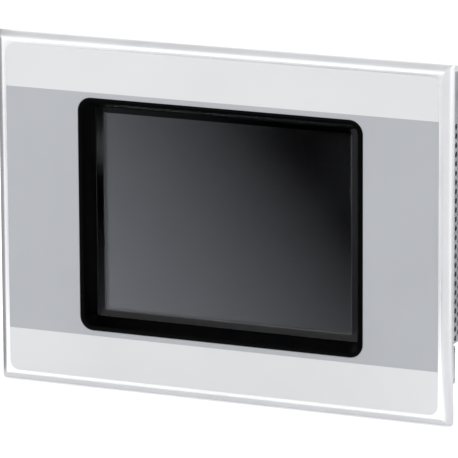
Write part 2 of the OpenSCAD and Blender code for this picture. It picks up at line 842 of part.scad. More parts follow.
// The D outline of a nine-pin port, w wide and h high
module d_shape(w, h) {
    lean = h * tan(10);
    corners = [[-w / 2, -h / 2], [w / 2, -h / 2], [w / 2 - lean, h / 2], [-w / 2 + lean, h / 2]];
    polygon([for (i = [0 : 3])
        each bend(corners[(i + 3) % 4], corners[i], corners[(i + 1) % 4], 2, 4)]);
}

module dsub_shell(x) {
    z1 = bay_z + sheet;
    difference() {
        union() {
            difference() {
                block(x - 15.4, x + 15.4, board_y, board_y + 12.5, z1, z1 + 9);
                block(x - 16, x + 16, board_y + 1.2, board_y + 13, z1 + 1, z1 + 10);
            }
            translate([x, dsub_y, 0]) along_z(bay_z - 5.6, z1) d_shape(dsub_size[0], dsub_size[1]);
        }
        translate([x, dsub_y, 0]) along_z(bay_z - 6, z1 + 2) d_shape(dsub_size[0] - 1, dsub_size[1] - 1);
        for (side = [-1, 1]) rod_z(3, z1 - 1, z1 + 2, x + side * jack_pitch / 2, dsub_y);
    }
}

module dsub_insert(x) {
    z1 = bay_z + sheet;
    difference() {
        union() {
            translate([x, dsub_y, 0]) along_z(bay_z - 0.5, z1 + 1)
                d_shape(dsub_size[0] - 1.2, dsub_size[1] - 1.2);
            block(x - 9.5, x + 9.5, board_y + 1.2, board_y + 12, z1 + 1, z1 + 9);
        }
        for (p = dsub_pins) rod_z(1.1, bay_z - 1, z1 + 6, x + p[0], dsub_y + p[1]);
    }
}

dsub_pins = concat([for (i = [-2 : 2]) [i * 2.77, -1.42]], [for (i = [-1.5 : 1.5]) [i * 2.77, 1.42]]);

module serial_shell() { color("silver") dsub_shell(serial_x); }
module serial_insert() { color("black") dsub_insert(serial_x); }
module can_shell() { color("silver") dsub_shell(can_x); }
module can_insert() { color("black") dsub_insert(can_x); }

module port_pins() {
    color("gold") for (x = [serial_x, can_x], p = dsub_pins)
        rod_z(1, bay_z - 4.6, bay_z + sheet + 6, x + p[0], dsub_y + p[1]);
}

module jack_screws() {
    color("silver") for (x = [serial_x, can_x], side = [-1, 1])
        translate([x + side * jack_pitch / 2, dsub_y, 0]) difference() {
            union() {
                rod_z(5.5, bay_z - 5.5, bay_z, $fn = 6);
                rod_z(2.8, bay_z, bay_z + sheet + 3.5);
            }
            rod_z(2.5, bay_z - 6, bay_z);
        }
}

// ---------- power ----------

module power_header() {
    z0 = bay_z - 0.4;
    color("darkgreen") difference() {
        block(power_x - header_w / 2, power_x + header_w / 2, board_y, header_y1, z0, z0 + 12);
        block(power_x - header_w / 2 + header_t, power_x + header_w / 2 - header_t,
              board_y + header_t, header_y1 - header_t, z0 - 1, z0 + 9.5);
        for (i = poles)
            block(power_x + i * pole_pitch - 0.5, power_x + i * pole_pitch + 0.5,
                  pin_y - 0.5, pin_y + 0.5, z0 + 9, z0 + 12.1);
    }
}

module power_pins() {
    z0 = bay_z - 0.4;
    color("silver") for (i = poles) union() {
        x = power_x + i * pole_pitch;
        block(x - 0.5, x + 0.5, pin_y - 0.5, pin_y + 0.5, z0 + 1.2, z0 + 13.5);
        block(x - 0.5, x + 0.5, board_y, pin_y + 0.5, z0 + 12.5, z0 + 13.5);
    }
}

// ---------- memory card ----------

card_z0 = bay_z - card_out;

module card_socket() {
    color("silver") difference() {
        block(card_x - card_w / 2 - 2, card_x + card_w / 2 + 2, board_y, card_y + card_t + 0.6,
              board_z0, card_z0 + card_l + 2);
        block(card_x - card_w / 2 - 0.3, card_x + card_w / 2 + 0.3, card_y - 0.15, card_y + card_t + 0.15,
              board_z0 - 1, card_z0 + card_l + 1.2);
    }
}

module memory_card() {
    color("navy") along_y(card_y, card_y + card_t)
        translate([card_x - card_w / 2, card_z0])
            polygon([[0, 0], [card_w, 0], [card_w, card_l], [4, card_l], [0, card_l - 4]]);
}

// ---------- control button ----------

switch_w = 6;
switch_z0 = bay_z + sheet + 2.6;

module ctrl_switch() {
    color("dimgray") difference() {
        block(button_x - switch_w / 2, button_x + switch_w / 2, board_y, button_y + 3,
              switch_z0, switch_z0 + 5);
        rod_z(button_d + 1, switch_z0 - 1, switch_z0 + 3.2, button_x, button_y);
    }
}

module ctrl_button() {
    color("gray") union() {
        rod_z(button_d, bay_z - button_out, switch_z0 + 3.2 - button_travel - 0.2, button_x, button_y);
        rod_z(button_d + 1.8, bay_z + sheet + 0.2, bay_z + sheet + 0.9, button_x, button_y);
    }
}

front_frame();
frame_posts();
front_overlay();
panel_gasket();
display_bezel();
bezel_screws();
bezel_gasket();
touch_film();
touch_spacer();
touch_glass();
touch_cable();
display_gasket();
lcd_frame();
lcd_panel();
lcd_diffuser();
light_guide();
light_strip();
lcd_carrier();
lcd_backplate();
display_brackets();
bracket_screws();
lcd_cable();
tray();
tray_screws();
rear_cover();
cover_screws();
rating_plate();
ground_stud();
main_board();
board_standoffs();
board_screws();
board_sockets();
processor();
heat_sink();
memory_chips();
capacitors();
power_chokes();
battery_holder();
coin_cell();
ethernet_port();
ethernet_contacts();
usb_host_port();
usb_device_port();
usb_tongues();
serial_shell();
serial_insert();
can_shell();
can_insert();
port_pins();
jack_screws();
power_header();
power_pins();
card_socket();
memory_card();
ctrl_switch();
ctrl_button();
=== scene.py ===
"""The looks of the panel-mounted operator terminal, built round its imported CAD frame."""

import math

import bpy
from mathutils import Matrix, Vector


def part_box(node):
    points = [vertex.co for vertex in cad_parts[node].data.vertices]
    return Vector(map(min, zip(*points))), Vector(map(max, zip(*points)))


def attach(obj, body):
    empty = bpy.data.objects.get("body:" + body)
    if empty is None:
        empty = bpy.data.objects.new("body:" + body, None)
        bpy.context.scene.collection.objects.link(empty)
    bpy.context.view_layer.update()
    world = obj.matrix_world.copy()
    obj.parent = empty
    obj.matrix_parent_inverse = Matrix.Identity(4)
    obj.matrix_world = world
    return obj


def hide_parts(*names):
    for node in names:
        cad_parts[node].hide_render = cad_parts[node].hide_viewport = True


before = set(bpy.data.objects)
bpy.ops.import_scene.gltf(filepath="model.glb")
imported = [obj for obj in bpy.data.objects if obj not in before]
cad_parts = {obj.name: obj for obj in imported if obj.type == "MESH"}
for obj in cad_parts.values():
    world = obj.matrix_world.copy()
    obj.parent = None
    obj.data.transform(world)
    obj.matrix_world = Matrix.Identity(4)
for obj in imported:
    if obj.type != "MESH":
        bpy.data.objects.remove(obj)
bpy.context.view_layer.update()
MM = 0.001


# ---------- sizes, worked out from the frame ----------

def half_size(node):
    """Half the width and half the height of a node that is centred on the origin."""
    low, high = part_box(node)
    return (high.x - low.x) / 2, (high.z - low.z) / 2


def grown(half, by):
    """A half size made larger by the same amount all round."""
    return half[0] + by, half[1] + by


OUTER = half_size("front_frame")
OVERLAY = half_size("front_overlay")
TOUCH = half_size("touch_film")
GASKET = half_size("panel_gasket")
FLANGE = half_size("display_bezel")
TRAY = (half_size("tray")[0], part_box("tray")[1].z)
FRONT_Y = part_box("front_frame")[0].y
OVERLAY_BACK_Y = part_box("front_overlay")[1].y
LIP_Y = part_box("display_bezel")[0].y
BEZEL_BACK_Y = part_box("display_bezel")[1].y
SEAL_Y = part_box("bezel_gasket")[0].y
GROOVE_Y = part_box("panel_gasket")[0].y
SEAT_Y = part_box("tray")[0].y
FLOOR_Z = -OUTER[1]
CARD_Z = FLOOR_Z + 0.1 * MM

FIT_GAP = 0.2 * MM
LEAST_RADIUS = 0.05 * MM
SHARP_ANGLE = math.radians(28)

# Front frame
FRAME_RADIUS = 1.2 * MM
OVERLAY_GAP = 0.04 * MM
OVERLAY_RADIUS = 4 * MM
SLOPE_WIDTH = 3.5 * MM
CREST_WIDTH = 0.45 * MM
CREST_RISE = 0.1 * MM
SHARPEST_INSET = 2.5 * MM
LEAST_SHARE = 0.3
RADIUS_GROWTH = 1.8
EDGE_DEPTH = 0.8 * MM
WALL = 2.3 * MM
POCKET_Y = OVERLAY_BACK_Y + WALL
POCKET_LEDGE = 3.5 * MM
POCKET_RADIUS = 3 * MM
GROOVE_GAP = 0.1 * MM
GROOVE_WIDTH = 3 * MM
GROOVE_OUTER_RADIUS = 2.5 * MM
GROOVE_INNER_RADIUS = 1 * MM

# Bezel, screen and printed band
BEZEL_WALL = 1.6 * MM
BEZEL = grown(TOUCH, BEZEL_WALL + FIT_GAP)
BEZEL_RADIUS = 6 * MM
BEZEL_FLANGE = 1.2 * MM
BEZEL_FLANGE_BACK_Y = POCKET_Y + BEZEL_FLANGE
BEZEL_FLANGE_RADIUS = 3 * MM
CAVITY_RADIUS = 1 * MM
LIP_WIDTH = 1.9 * MM
MOUTH = grown(BEZEL, -LIP_WIDTH)
BEZEL_DRAFT = 3.1 * MM
SCREEN_OPENING = grown(MOUTH, -BEZEL_DRAFT)
SCREEN_RADIUS = 1.2 * MM
SCREEN_EDGE = 0.8 * MM
LIFT_WIDTH = 3.4 * MM
BAND_MARGIN = 2.5 * MM
BAND_HALF_HEIGHT = BEZEL[1] + BAND_MARGIN


# ---------- mesh building ----------

def rounded_rectangle(half_w, half_h, radius, y, steps=8):
    """Points round a rectangle with round corners, at depth y."""
    points = []
    for corner, (sx, sz) in enumerate(((1, 1), (-1, 1), (-1, -1), (1, -1))):
        for i in range(steps + 1):
            a = math.radians(90 * corner + 90 * i / steps)
            points.append(Vector((sx * (half_w - radius) + radius * math.cos(a), y,
                                  sz * (half_h - radius) + radius * math.sin(a))))
    return points


def softened(section, steps=4):
    """A closed section with each corner rounded by its own fillet.

    A section's point is (half width, half height, y, corner radius, fillet).
    """
    soft = []
    for i, point in enumerate(section):
        here = Vector(point[:4])
        fillet = point[4]
        if fillet == 0:
            soft.append(here)
            continue
        before = Vector(section[i - 1][:4]) - here
        after = Vector(section[(i + 1) % len(section)][:4]) - here
        start = here + before * (fillet / math.hypot(before[0], before[2]))
        end = here + after * (fillet / math.hypot(after[0], after[2]))
        for k in range(steps + 1):
            t = k / steps
            soft.append(start * (1 - t) ** 2 + here * 2 * t * (1 - t) + end * t ** 2)
    return soft


def loft(name, section):
    """A closed ring-shaped solid whose cross-section is given as for softened()."""
    rings = [rounded_rectangle(p[0], p[1], max(p[3], LEAST_RADIUS), p[2]) for p in softened(section)]
    count = len(rings[0])
    vertices = [v for ring in rings for v in ring]
    faces = []
    for r in range(len(rings)):
        for i in range(count):
            j = (i + 1) % count
            s = (r + 1) % len(rings)
            faces.append((r * count + i, r * count + j, s * count + j, s * count + i))
    mesh = bpy.data.meshes.new(name)
    mesh.from_pydata(vertices, [], faces)
    mesh.validate()
    mesh.shade_smooth()
    mesh.set_sharp_from_angle(angle=SHARP_ANGLE)
    piece = bpy.data.objects.new(name, mesh)
    bpy.context.scene.collection.objects.link(piece)
    return piece


def curve_point(a, b, c, d, t):
    """Point at t along the curve from a to d with the handles b and c."""
    return a * (1 - t) ** 3 + b * 3 * t * (1 - t) ** 2 + c * 3 * t * t * (1 - t) + d * t ** 3


def curve(points, steps):
    """Points along a curve given by its ends and two handles, without the first end."""
    return [curve_point(*(Vector(p) for p in points), i / steps) for i in range(1, steps + 1)]


def rim_profile():
    """The rim as (distance in from the edge, y), from the overlay over the crest to the edge."""
    inner = OUTER[1] - OVERLAY[1] - OVERLAY_GAP
    crest = SLOPE_WIDTH + CREST_WIDTH
    slope_depth = -FRONT_Y - EDGE_DEPTH
    # Each curve is given by its start, two handles and its end.
    dome = curve(((inner, FRONT_Y + CREST_RISE), (inner - 0.25 * MM, FRONT_Y + 0.03 * MM),
                  (crest + 0.4 * MM, FRONT_Y), (crest, FRONT_Y)), steps=6)
    slope = curve(((crest, FRONT_Y), (crest - 1.3 * MM, FRONT_Y),
                   (SLOPE_WIDTH * 0.10, -EDGE_DEPTH - slope_depth * 0.60), (0, -EDGE_DEPTH)), steps=16)
    return dome + slope


def rim_radius(inset):
    """Corner radius of the rim at a distance in from the edge, smallest part way up the slope."""
    radius = FRAME_RADIUS + RADIUS_GROWTH * max(0, inset - SLOPE_WIDTH)
    return radius * min(1, LEAST_SHARE + abs(inset - SHARPEST_INSET) / SHARPEST_INSET)


def make_frame_shell():
    """The front frame with its crest, slope, gasket groove and seat for the tray."""
    window = grown(BEZEL, FIT_GAP)
    recess = grown(OVERLAY, OVERLAY_GAP)
    groove_out = grown(GASKET, GROOVE_GAP)
    groove_in = grown(groove_out, -GROOVE_WIDTH)
    seat = grown(TRAY, FIT_GAP)
    pocket = grown(TRAY, -POCKET_LEDGE)
    section = [
        (*window, POCKET_Y, BEZEL_RADIUS, 0.1 * MM),
        (*window, OVERLAY_BACK_Y, BEZEL_RADIUS, 0.1 * MM),
        (*recess, OVERLAY_BACK_Y, OVERLAY_RADIUS, 0),
        (*recess, FRONT_Y + CREST_RISE, OVERLAY_RADIUS, 0)]
    section += [(*grown(OUTER, -inset), y, rim_radius(inset), 0) for inset, y in rim_profile()]
    section += [
        (*OUTER, 0, FRAME_RADIUS, 0.15 * MM),
        (*groove_out, 0, GROOVE_OUTER_RADIUS, 0),
        (*groove_out, GROOVE_Y, GROOVE_OUTER_RADIUS, 0),
        (*groove_in, GROOVE_Y, GROOVE_INNER_RADIUS, 0),
        (*groove_in, 0, GROOVE_INNER_RADIUS, 0),
        (*seat, 0, 0, 0),
        (*seat, SEAT_Y, 0, 0),
        (*pocket, SEAT_Y, POCKET_RADIUS, 0),
        (*pocket, POCKET_Y, POCKET_RADIUS, 0)]
    return loft("frame_shell", section)


def make_bezel_shell():
    """The gloss black bezel with its flat lip and its leaning walls."""
    cavity = grown(TOUCH, FIT_GAP)
    mouth_radius = BEZEL_RADIUS - LIP_WIDTH
    section = [
        (*SCREEN_OPENING, SEAL_Y, SCREEN_RADIUS, 0),
        (*SCREEN_OPENING, SEAL_Y - SCREEN_EDGE, SCREEN_RADIUS, 0.25 * MM),
        (*MOUTH, LIP_Y, mouth_radius, 0.12 * MM),
        (*BEZEL, LIP_Y, BEZEL_RADIUS, 0.4 * MM),
        (*BEZEL, POCKET_Y, BEZEL_RADIUS, 0),
        (*FLANGE, POCKET_Y, BEZEL_FLANGE_RADIUS, 0.2 * MM),
        (*FLANGE, BEZEL_FLANGE_BACK_Y, BEZEL_FLANGE_RADIUS, 0.2 * MM),
        (*BEZEL, BEZEL_FLANGE_BACK_Y, BEZEL_RADIUS, 0),
        (*BEZEL, BEZEL_BACK_Y, BEZEL_RADIUS, 0.2 * MM),
        (*cavity, BEZEL_BACK_Y, CAVITY_RADIUS, 0.2 * MM),
        (*cavity, SEAL_Y, CAVITY_RADIUS, 0)]
    return loft("bezel_shell", section)


# ---------- materials ----------

def material(name, colour, roughness, metallic=0.0, **sockets):
    """A new material whose plain values are set on the shader itself."""
    m = bpy.data.materials.new(name)
    m.use_nodes = True
    shader = m.node_tree.nodes["Principled BSDF"]
    shader.inputs["Base Color"].default_value = (*colour, 1)
    shader.inputs["Roughness"].default_value = roughness
    shader.inputs["Metallic"].default_value = metallic
    for key, value in sockets.items():
        shader.inputs[key.replace("_", " ")].default_value = value
    return m


def add(m, kind, **settings):
    """A node of that kind, with its own settings and its inputs' values."""
    node = m.node_tree.nodes.new("ShaderNode" + kind)
    for key, value in settings.items():
        if hasattr(node, key):
            setattr(node, key, value)
        else:
            node.inputs[key.replace("_", " ")].default_value = value
    return node


def link(m, source, target):
    """Joins a node's output to another node's input."""
    m.node_tree.links.new(source, target)


def shader_input(m, name):
    """An input of the material's shader."""
    return m.node_tree.nodes["Principled BSDF"].inputs[name]


def place(m, stretch=(1, 1, 1)):
    """The object's own coordinates in metres, stretched along its axes."""
    coordinates = add(m, "TexCoord")
    mapping = add(m, "Mapping")
    mapping.inputs["Scale"].default_value = stretch
    link(m, coordinates.outputs["Object"], mapping.inputs["Vector"])
    return mapping.outputs["Vector"]


def noise(m, size, detail=3, stretch=(1, 1, 1)):
    """Noise whose features are about size millimetres across."""
    texture = add(m, "TexNoise", Scale=1 / (size * MM), Detail=detail)
    link(m, place(m, stretch), texture.inputs["Vector"])
    return texture.outputs["Fac"]


def spread(m, value, low, high, start=0.3, end=0.7):
    """The value moved from start..end to low..high."""
    node = add(m, "MapRange")
    for key, number in (("From Min", start), ("From Max", end), ("To Min", low), ("To Max", high)):
        node.inputs[key].default_value = number
    link(m, value, node.inputs["Value"])
    return node.outputs["Result"]


def maths(m, operation, a, b=0.0):
    """The result of a maths node whose inputs are numbers or other nodes' outputs."""
    node = add(m, "Math", operation=operation)
    for socket, value in zip(node.inputs, (a, b)):
        if isinstance(value, (int, float)):
            socket.default_value = value
        else:
            link(m, value, socket)
    return node.outputs["Value"]


def blend_colours(m, factor, a, b):
    """One colour or colour output turned into another by a factor."""
    node = add(m, "Mix", data_type="RGBA")
    link(m, factor, node.inputs["Factor"])
    for socket, colour in ((node.inputs[6], a), (node.inputs[7], b)):
        if isinstance(colour, tuple):
            socket.default_value = (*colour, 1)
        else:
            link(m, colour, socket)
    return node.outputs[2]


def bumps(m, height, depth):
    """A bump of that many millimetres from a height."""
    node = add(m, "Bump", Strength=1.0, Distance=depth * MM)
    link(m, height, node.inputs["Height"])
    link(m, node.outputs["Normal"], shader_input(m, "Normal"))


def edge_mask(m, width):
    """About 1 on edges, within that many millimetres, and 0 on flat faces."""
    bevel = add(m, "Bevel", samples=4, Radius=width * MM)
    geometry = add(m, "NewGeometry")
    dot = add(m, "VectorMath", operation="DOT_PRODUCT")
    link(m, bevel.outputs["Normal"], dot.inputs[0])
    link(m, geometry.outputs["Normal"], dot.inputs[1])
    return spread(m, dot.outputs["Value"], 1, 0, 0.80, 0.99)


def mottled(name, colour, roughness, metallic=0.0, patch=12, grain=0.4, vary=0.12, depth=0.01,
            worn=None, **sockets):
    """A material with soft patches of tone, a fine grain, and edges worn to another colour.

    The sizes of the patches and of the grain and the depth of the bump are in millimetres.
    """
    m = material(name, colour, roughness, metallic, **sockets)
    patches = noise(m, patch, 4)
    fine = noise(m, grain, 3)
    dark = tuple(c * (1 - vary) for c in colour)
    light = tuple(min(1.0, c * (1 + vary)) for c in colour)
    tone = blend_colours(m, spread(m, patches, 0, 1), dark, light)
    if worn:
        scratches = spread(m, noise(m, grain * 6, 5), 0.35, 1)
        wear = maths(m, "MULTIPLY", edge_mask(m, 0.25), scratches)
        tone = blend_colours(m, wear, tone, worn)
    link(m, tone, shader_input(m, "Base Color"))
    both = maths(m, "ADD", maths(m, "MULTIPLY", patches, 0.6), maths(m, "MULTIPLY", fine, 0.4))
    link(m, spread(m, both, roughness * 0.8, min(1.0, roughness * 1.25)), shader_input(m, "Roughness"))
    bumps(m, fine, depth)
    return m


def satin_aluminium():
    """Bead-blasted and anodised: a fine even grain and faint cloudiness."""
    return mottled("satin_aluminium", (0.86, 0.865, 0.87), 0.32, 0.75, patch=30, grain=0.25, vary=0.03,
                   depth=0.004, worn=(0.93, 0.93, 0.93))


def printed_overlay():
    """Fine-textured polyester with a darker grey band printed across its middle."""
    m = material("printed_overlay", (0.70, 0.71, 0.72), 0.42)
    height = add(m, "SeparateXYZ")
    link(m, place(m), height.inputs["Vector"])
    distance = maths(m, "ABSOLUTE", height.outputs["Z"])
    in_band = maths(m, "LESS_THAN", distance, BAND_HALF_HEIGHT)
    cloud = spread(m, noise(m, 45, 2), 0, 1)
    pale = blend_colours(m, cloud, (0.552, 0.560, 0.571), (0.570, 0.578, 0.590))
    band = blend_colours(m, cloud, (0.331, 0.341, 0.361), (0.347, 0.358, 0.379))
    link(m, blend_colours(m, in_band, pale, band), shader_input(m, "Base Color"))
    pebble = noise(m, 0.35, 2)
    link(m, spread(m, pebble, 0.36, 0.5), shader_input(m, "Roughness"))
    bumps(m, pebble, 0.006)
    return m


def gloss_black():
    """Polished black moulding with a slight ripple, faint rubbed marks and a painted highlight along its
    edges.
    """
    m = material("gloss_black", (0.0012, 0.0012, 0.0015), 0.14, Specular_IOR_Level=0.035)
    ripple = noise(m, 6, 2)
    rubbed = noise(m, 1.2, 6, (1, 1, 4))
    link(m, spread(m, rubbed, 0.09, 0.2), shader_input(m, "Roughness"))
    # Painted highlight: the edges are made lighter in the base colour.
    edge = blend_colours(m, edge_mask(m, 0.3), (0.0008, 0.0008, 0.001), (0.006, 0.006, 0.007))
    link(m, edge, shader_input(m, "Base Color"))
    bumps(m, ripple, 0.012)
    return m


def clear_film():
    """Hard-coated film that lifts a little towards the bezel, with faint smears of hand grease."""
    m = material("clear_film", (0.93, 0.935, 0.94), 0.06, Transmission_Weight=1.0, IOR=1.33)
    smears = noise(m, 30, 3, (1, 1, 0.4))
    link(m, spread(m, smears, 0.05, 0.08), shader_input(m, "Roughness"))
    split = add(m, "SeparateXYZ")
    link(m, place(m), split.inputs["Vector"])
    beside = maths(m, "ABSOLUTE", split.outputs["X"])
    below = maths(m, "MULTIPLY", split.outputs["Z"], -1.0)
    lift = maths(m, "MAXIMUM",
                 spread(m, beside, 0, 1, SCREEN_OPENING[0] - LIFT_WIDTH, SCREEN_OPENING[0]),
                 spread(m, below, 0, 1, SCREEN_OPENING[1] - LIFT_WIDTH, SCREEN_OPENING[1]))
    waves = maths(m, "MULTIPLY", noise(m, 60, 1), 0.003)
    bumps(m, maths(m, "ADD", lift, waves), 0.6)
    return m


def polariser():
    """The dark, faintly hazed face of the unlit display."""
    m = material("polariser", (0.0008, 0.0009, 0.0012), 0.12, Specular_IOR_Level=1.12)
    cloud = spread(m, noise(m, 40, 2), 0, 1)
    tone = blend_colours(m, cloud, (0.0006, 0.0007, 0.0010), (0.0010, 0.0011, 0.0014))
    link(m, tone, shader_input(m, "Base Color"))
    link(m, spread(m, noise(m, 25, 3), 0.1, 0.14), shader_input(m, "Roughness"))
    return m


def clear_glass():
    """Clear glass with faint smears."""
    m = material("clear_glass", (0.94, 0.95, 0.95), 0.02, Transmission_Weight=1.0, IOR=1.5)
    smears = noise(m, 18, 4)
    link(m, spread(m, smears, 0.01, 0.05), shader_input(m, "Roughness"))
    return m


def zinc_sheet(name, colour, roughness):
    """Zinc-coated sheet steel: faint crystals, marks along the rolling direction, and lighter edges that
    are partly wear and partly a painted highlight.
    """
    m = material(name, colour, roughness, 1.0)
    crystals = add(m, "TexVoronoi", Scale=1 / (5 * MM))
    link(m, place(m), crystals.inputs["Vector"])
    facets = add(m, "SeparateColor")
    link(m, crystals.outputs["Color"], facets.inputs["Color"])
    rolled = noise(m, 0.5, 4, (0.03, 1, 1))
    stain = noise(m, 35, 5)
    tone = maths(m, "ADD", maths(m, "MULTIPLY", facets.outputs["Red"], 0.35),
                 maths(m, "MULTIPLY", stain, 0.65))
    dark = tuple(c * 0.86 for c in colour)
    light = tuple(c * 1.1 for c in colour)
    base = blend_colours(m, spread(m, tone, 0, 1, 0.25, 0.75), dark, light)
    # Lighter edges: partly wear, partly a painted highlight along the sheet's edges.
    worn = blend_colours(m, maths(m, "MULTIPLY", edge_mask(m, 0.2), 0.7), base, (0.78, 0.78, 0.78))
    link(m, worn, shader_input(m, "Base Color"))
    rough = maths(m, "ADD", maths(m, "MULTIPLY", facets.outputs["Green"], 0.4),
                  maths(m, "MULTIPLY", rolled, 0.6))
    link(m, spread(m, rough, roughness * 0.85, roughness * 1.2, 0.2, 0.8), shader_input(m, "Roughness"))
    bumps(m, rolled, 0.006)
    return m


def seal_rubber():
    """Dull black rubber."""
    return mottled("seal_rubber", (0.018, 0.018, 0.019), 0.75, patch=8, grain=0.5, vary=0.3, depth=0.04)


def flat_cable():
    """Amber film with a row of copper tracks under it."""
    m = material("flat_cable", (0.45, 0.20, 0.04), 0.3, Coat_Weight=0.4, Coat_Roughness=0.12)
    tracks = add(m, "TexWave", wave_type="BANDS", bands_direction="X", Scale=1 / (3.2 * MM))
    link(m, place(m), tracks.inputs["Vector"])
    stripes = spread(m, tracks.outputs["Fac"], 0, 1, 0.45, 0.55)
    striped = blend_colours(m, stripes, (0.34, 0.13, 0.02), (0.62, 0.31, 0.08))
    link(m, striped, shader_input(m, "Base Color"))
    bumps(m, stripes, 0.02)
    return m


def circuit_board():
    """Green solder mask with faint tracks and small plated holes."""
    m = material("circuit_board", (0.010, 0.085, 0.035), 0.32, Coat_Weight=0.3, Coat_Roughness=0.2)
    tracks = add(m, "TexBrick", offset=0.37, Scale=1 / (9 * MM), Mortar_Size=0.045, Brick_Width=1.7)
    tracks.inputs["Color1"].default_value = (0, 0, 0, 1)
    tracks.inputs["Color2"].default_value = (0, 0, 0, 1)
    tracks.inputs["Mortar"].default_value = (1, 1, 1, 1)
    turned = add(m, "CombineXYZ")
    split = add(m, "SeparateXYZ")
    link(m, place(m), split.inputs["Vector"])
    link(m, split.outputs["X"], turned.inputs["X"])
    link(m, split.outputs["Z"], turned.inputs["Y"])
    link(m, turned.outputs["Vector"], tracks.inputs["Vector"])
    cells = add(m, "TexVoronoi", Scale=1 / (4.5 * MM))
    link(m, turned.outputs["Vector"], cells.inputs["Vector"])
    holes = maths(m, "LESS_THAN", cells.outputs["Distance"], 0.1)
    green = blend_colours(m, spread(m, noise(m, 20, 4), 0, 1), (0.008, 0.07, 0.03), (0.012, 0.10, 0.042))
    traced = blend_colours(m, tracks.outputs["Color"], green, (0.03, 0.19, 0.08))
    link(m, blend_colours(m, holes, traced, (0.55, 0.50, 0.40)), shader_input(m, "Base Color"))
    bumps(m, tracks.outputs["Color"], 0.03)
    return m


def label_film():
    """A blank printed label: ruled boxes and a grey heading bar, with no writing."""
    m = material("label_film", (0.78, 0.78, 0.77), 0.35)
    low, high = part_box("rating_plate")
    split = add(m, "SeparateXYZ")
    link(m, place(m), split.inputs["Vector"])
    across = spread(m, split.outputs["X"], 0, 1, low.x, high.x)
    up = spread(m, split.outputs["Z"], 0, 1, low.z, high.z)
    rows = maths(m, "FRACT", maths(m, "MULTIPLY", up, 7))
    row_lines = maths(m, "LESS_THAN", rows, 0.05)
    columns = maths(m, "FRACT", maths(m, "MULTIPLY", across, 3))
    column_lines = maths(m, "LESS_THAN", columns, 0.012)
    lines = maths(m, "MAXIMUM", row_lines, column_lines)
    heading = maths(m, "GREATER_THAN", up, 6 / 7)
    paper = blend_colours(m, spread(m, noise(m, 15, 5), 0, 1), (0.72, 0.72, 0.71), (0.80, 0.80, 0.79))
    ruled = blend_colours(m, lines, paper, (0.12, 0.12, 0.13))
    link(m, blend_colours(m, heading, ruled, (0.22, 0.24, 0.27)), shader_input(m, "Base Color"))
    fine = noise(m, 0.4, 2)
    link(m, spread(m, fine, 0.3, 0.42), shader_input(m, "Roughness"))
    bumps(m, fine, 0.004)
    return m


def plastic(name, colour, roughness):
    """Moulded plastic with a spark-eroded grain and slightly rubbed edges."""
    rubbed = tuple(min(1.0, c * 1.5 + 0.02) for c in colour)
    return mottled(name, colour, roughness, patch=9, grain=0.3, vary=0.1, depth=0.012, worn=rubbed)


def metal(name, colour, roughness):
    """Plain metal with a fine grain and brighter edges."""
    bright = tuple(min(1.0, c * 1.15) for c in colour)
    return mottled(name, colour, roughness, 1.0, patch=4, grain=0.2, vary=0.08, depth=0.004,
                   worn=bright)


def dressed(looks):
    """Gives each CAD node its material. Nodes that share one are listed together."""
    for look, names in looks:
        for name in names.split():
            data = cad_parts[name].data
            data.materials.clear()
            data.materials.append(look)


SCREW = metal("zinc_screw", (0.60, 0.61, 0.60), 0.26)
GOLD = metal("gold_plate", (0.86, 0.62, 0.26), 0.22)
PORT = metal("tin_plate", (0.66, 0.66, 0.65), 0.28)
CASE = zinc_sheet("zinc_case", (0.56, 0.57, 0.59), 0.42)
FRAME_LOOK = satin_aluminium()
BEZEL_LOOK = gloss_black()
BLACK = plastic("black_plastic", (0.016, 0.016, 0.017), 0.5)

dressed([
    (FRAME_LOOK, "front_frame"),
    (printed_overlay(), "front_overlay"),
    (BEZEL_LOOK, "display_bezel"),
    (seal_rubber(), "panel_gasket bezel_gasket display_gasket"),
    (clear_film(), "touch_film"),
    (clear_glass(), "touch_glass"),
    (plastic("border_ink", (0.005, 0.005, 0.005), 0.5), "touch_spacer"),
    (flat_cable(), "touch_cable lcd_cable"),
    (plastic("blackened_steel", (0.006, 0.006, 0.006), 0.5), "lcd_frame"),
    (metal("post_steel", (0.60, 0.60, 0.59), 0.35), "frame_posts"),
    (zinc_sheet("display_steel", (0.34, 0.35, 0.37), 0.4), "lcd_backplate"),
    (polariser(), "lcd_panel"),
    (mottled("frosted_film", (0.80, 0.81, 0.82), 0.6, patch=14, grain=0.2, vary=0.03, depth=0.004),
     "lcd_diffuser"),
    (mottled("acrylic_guide", (0.86, 0.89, 0.90), 0.12, patch=20, grain=0.8, vary=0.02, depth=0.004,
             Transmission_Weight=0.7), "light_guide"),
    (plastic("strip_board", (0.72, 0.66, 0.34), 0.4), "light_strip"),
    (plastic("white_plastic", (0.72, 0.72, 0.69), 0.5), "lcd_carrier board_sockets usb_tongues"),
    (CASE, "tray rear_cover display_brackets"),
    (SCREW, "bezel_screws bracket_screws tray_screws cover_screws board_screws jack_screws"),
    (label_film(), "rating_plate"),
    (metal("brass", (0.68, 0.50, 0.22), 0.3), "ground_stud board_standoffs"),
    (circuit_board(), "main_board"),
    (BLACK, "processor memory_chips battery_holder serial_insert can_insert ctrl_switch"),
    (mottled("black_anodised", (0.03, 0.03, 0.033), 0.4, 0.6, patch=10, worn=(0.3, 0.3, 0.3)),
     "heat_sink"),
    (metal("can_aluminium", (0.66, 0.67, 0.68), 0.3), "capacitors"),
    (mottled("ferrite", (0.09, 0.09, 0.095), 0.65, patch=5, grain=0.5, vary=0.2, depth=0.03),
     "power_chokes"),
    (metal("cell_steel", (0.66, 0.66, 0.64), 0.24), "coin_cell"),
    (PORT, "ethernet_port usb_host_port usb_device_port serial_shell can_shell card_socket"),
    (GOLD, "ethernet_contacts port_pins power_pins"),
    (plastic("green_plastic", (0.02, 0.16, 0.07), 0.42), "power_header"),
    (plastic("card_plastic", (0.015, 0.022, 0.06), 0.4), "memory_card"),
    (plastic("grey_plastic", (0.24, 0.25, 0.26), 0.45), "ctrl_button"),
])


# ---------- pieces ----------

